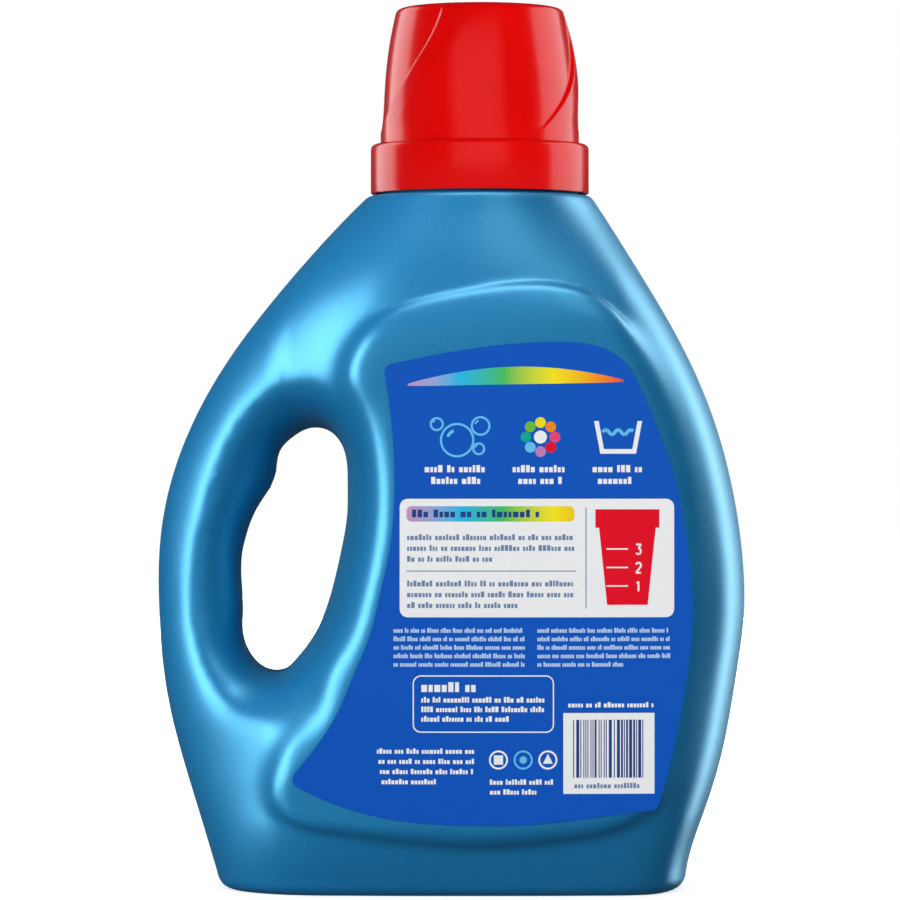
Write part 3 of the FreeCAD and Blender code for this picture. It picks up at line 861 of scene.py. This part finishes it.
def build_label():
    """One film whose faces take the ink of the shape that lies on top."""
    outline = label_outline()
    shapes = [("blue", stepped(outline))]
    for ink, shape in print_layout():
        if all(inside_outline(x, z, outline) for x, z in shape):
            shapes.append((ink, shape))
    points = []
    faces = []
    for ink, shape in shapes:
        faces.append(list(range(len(points), len(points) + len(shape))))
        points += shape
    points += [(x, z) for x in GRID_X for z in GRID_Z if inside_outline(x, z, outline)]
    result = geometry.delaunay_2d_cdt([Vector(p) for p in points], [], faces, 1, CUT_TOLERANCE)
    flat_points, _, flat_faces, _, _, owners = result
    bm = bmesh.new()
    verts = [
        bm.verts.new((p.x * MM, -panel_depth(p.x * MM) - LABEL_LIFT, p.y * MM)) for p in flat_points]
    names = []
    for corners, owner in zip(flat_faces, owners):
        if not owner or len(set(corners)) < 3:
            continue
        ink = shapes[max(owner)][0]
        if ink not in names:
            names.append(ink)
        face = bm.faces.new([verts[i] for i in corners])
        face.material_index = names.index(ink)
    loose = [v for v in bm.verts if not v.link_faces]
    bmesh.ops.delete(bm, geom=loose, context="VERTS")
    for face in bm.faces:
        if face.normal.y > 0:
            face.normal_flip()
    mesh = bpy.data.meshes.new("printed_film")
    bm.to_mesh(mesh)
    bm.free()
    label = link(bpy.data.objects.new("printed_film", mesh))
    inks = print_inks()
    for name in names:
        label.data.materials.append(inks[name])
    film = label.modifiers.new("film", "SOLIDIFY")
    film.thickness = LABEL_FILM
    film.offset = -1.0
    apply_modifiers(label)
    return label


def print_inks():
    inks = {
        "blue": BLUE, "white": WHITE, "navy": NAVY, "grey": GREY_BLUE, "pale": PALE_BLUE, "sky": SKY,
        "red": RED, "pink": PINK, "green": GREEN, "teal": TEAL, "yellow": YELLOW, "orange": ORANGE,
        "lilac": LILAC,
    }
    made = {name: print_colour(name, colour) for name, colour in inks.items()}
    made["rainbow"] = print_rainbow("rainbow", -15.0 * MM, 58.0 * MM)
    return made


# Spout

COLLAR_BORE = 29.4 * MM


def build_collar_thread():
    bm = bmesh.new()
    add_thread(bm, COLLAR_BORE + 0.1 * MM, -THREAD_HEIGHT - 0.1 * MM, SKIRT_BOTTOM + 5.0 * MM, 0.0)
    return mesh_object("collar_thread", bm)


# Stage

FLOOR_REACH = 6.0
# The glow that only the camera sees grows from its least at the part to full white beside it: painted
# shade around the part's foot, which deepens its real shadow.
SHADE_RING_RADII = (0.06, 0.30)
SHADE_RING_LEAST_GLOW = 0.72
WORLD_LIGHT = 0.06


def build_stage():
    """A wide white floor that shows only the softest shadow, deepened near the part by painted shade
    where its camera-only glow is dimmed.
    """
    bm = bmesh.new()
    signs = ((-1, -1), (1, -1), (1, 1), (-1, 1))
    bm.faces.new([bm.verts.new((FLOOR_REACH * x, FLOOR_REACH * y, 0.0)) for x, y in signs])
    stage = mesh_object("stage", bm)
    m = Nodes("white_floor")
    m.value("Base Color", (0.90, 0.90, 0.90, 1))
    m.value("Roughness", 1.0)
    m.value("Specular IOR Level", 0.0)
    glow = m.add("ShaderNodeEmission")
    glow.inputs["Color"].default_value = (1, 1, 1, 1)
    length = m.add("ShaderNodeVectorMath", operation="LENGTH")
    m.join(m.place(), length.inputs[0])
    # Painted shade: the camera-only glow is weakest at the part, so the floor darkens around its foot.
    shade_ring = m.add("ShaderNodeMapRange", interpolation_type="SMOOTHSTEP")
    shade_ring.inputs["From Min"].default_value = SHADE_RING_RADII[0]
    shade_ring.inputs["From Max"].default_value = SHADE_RING_RADII[1]
    shade_ring.inputs["To Min"].default_value = SHADE_RING_LEAST_GLOW
    shade_ring.inputs["To Max"].default_value = 1.0
    m.join(length.outputs["Value"], shade_ring.inputs["Value"])
    path = m.add("ShaderNodeLightPath")
    strength = m.add("ShaderNodeMath", operation="MULTIPLY")
    m.join(path.outputs["Is Camera Ray"], strength.inputs[0])
    m.join(shade_ring.outputs["Result"], strength.inputs[1])
    m.join(strength.outputs["Value"], glow.inputs["Strength"])
    both = m.add("ShaderNodeAddShader")
    m.join(m.shader.outputs["BSDF"], both.inputs[0])
    m.join(glow.outputs["Emission"], both.inputs[1])
    output = [n for n in m.tree.nodes if n.type == "OUTPUT_MATERIAL"][0]
    m.join(both.outputs["Shader"], output.inputs["Surface"])
    stage.data.materials.append(m.material)
    stage.visible_glossy = False
    return stage


LIGHT_AIM = Vector((0.0, 0.0, 0.14))


def area_light(name, azimuth, distance, height, width, tall, power, mirrored=True, pieces=()):
    """A soft box. Azimuth 0 is at the camera and grows to the right. One that isn't mirrored lights the
    part evenly and leaves no highlight on it. One that names pieces lights only those."""
    data = bpy.data.lights.new(name, "AREA")
    data.shape = "RECTANGLE"
    data.size = width
    data.size_y = tall
    data.energy = power
    lamp = link(bpy.data.objects.new(name, data))
    angle = math.radians(azimuth)
    lamp.location = (distance * math.sin(angle), -distance * math.cos(angle), height)
    lamp.rotation_euler = (LIGHT_AIM - lamp.location).to_track_quat("-Z", "Y").to_euler()
    lamp.visible_glossy = mirrored
    if pieces:
        lit = bpy.data.collections.new(name + "_lit")
        for piece in pieces:
            lit.objects.link(piece)
        lamp.light_linking.receiver_collection = lit
    return lamp


def build_lights(bottle, mouth):
    """The bottle has boxes of its own, and so have the pieces of its mouth. The fills light all."""
    area_light("cap_left_box", -120.0, 1.2, 0.30, 0.85, 1.6, 12.0, pieces=mouth)
    area_light("cap_right_box", 108.0, 1.2, 0.30, 1.3, 1.6, 13.0, pieces=mouth)
    area_light("bottle_left_box", -62.0, 1.2, 0.40, 0.50, 1.0, 20.0, pieces=[bottle])
    area_light("bottle_top_box", 0.0, 0.05, 1.5, 0.8, 0.5, 11.0, pieces=[bottle])
    area_light("bottle_front_top_box", 24.0, 0.9, 1.3, 0.5, 0.6, 3.0, pieces=[bottle])
    area_light("bottle_right_box", 122.0, 1.2, 0.35, 0.6, 1.6, 20.0, pieces=[bottle])
    area_light("front_fill", 0.0, 2.2, 0.5, 2.4, 2.0, 60.0, mirrored=False)
    area_light("back_fill", 180.0, 2.2, 0.9, 2.4, 2.0, 34.0, mirrored=False)
    world = bpy.data.worlds.new("studio")
    bpy.context.scene.world = world
    world.use_nodes = True
    tree = world.node_tree
    back = tree.nodes["Background"]
    back.inputs["Color"].default_value = (1, 1, 1, 1)
    path = tree.nodes.new("ShaderNodeLightPath")
    reach = tree.nodes.new("ShaderNodeMapRange")
    reach.inputs["To Min"].default_value = WORLD_LIGHT
    reach.inputs["To Max"].default_value = 1.0
    tree.links.new(path.outputs["Is Camera Ray"], reach.inputs["Value"])
    tree.links.new(reach.outputs["Result"], back.inputs["Strength"])


CAMERA_DISTANCE = 1.575
CAMERA_HEIGHT = 0.1458
CAMERA_X = -0.0003
CAMERA_LENS = 187.5


def build_camera():
    data = bpy.data.cameras.new("camera")
    data.lens = CAMERA_LENS
    data.sensor_width = 36.0
    data.clip_end = 20.0
    camera = link(bpy.data.objects.new("camera", data))
    camera.location = (CAMERA_X, -CAMERA_DISTANCE, CAMERA_HEIGHT)
    camera.rotation_euler = (math.pi / 2, 0, 0)
    bpy.context.scene.camera = camera


# Putting the pieces together

def dress(piece, material, body, slot, *nodes):
    if material is not None:
        piece.data.materials.clear()
        piece.data.materials.append(material)
    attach(piece, body)
    if nodes:
        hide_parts(*nodes)


def dress_node(name, material):
    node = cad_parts[name]
    node.data.materials.clear()
    node.data.materials.append(material)


white_plastic = spout_plastic()
bottle_shell = build_bottle()
cap_shell = build_cap()
dress(bottle_shell, bottle_plastic(), "bottle_body", "bottle_plastic", "bottle")
dress(cap_shell, cap_plastic(), "cap_body", "cap_plastic", "cap")
dress(build_label(), None, "bottle_body", "label_film", "back_label")
collar_thread = build_collar_thread()
dress(collar_thread, white_plastic, "bottle_body", "spout_plastic")
dress_node("pour_spout", white_plastic)
dress(build_liquid(), liquid(), "bottle_body", "liquid", "detergent")
build_stage()
build_lights(bottle_shell, [cap_shell, collar_thread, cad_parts["pour_spout"]])
build_camera()
bpy.context.scene.view_settings.view_transform = "Standard"
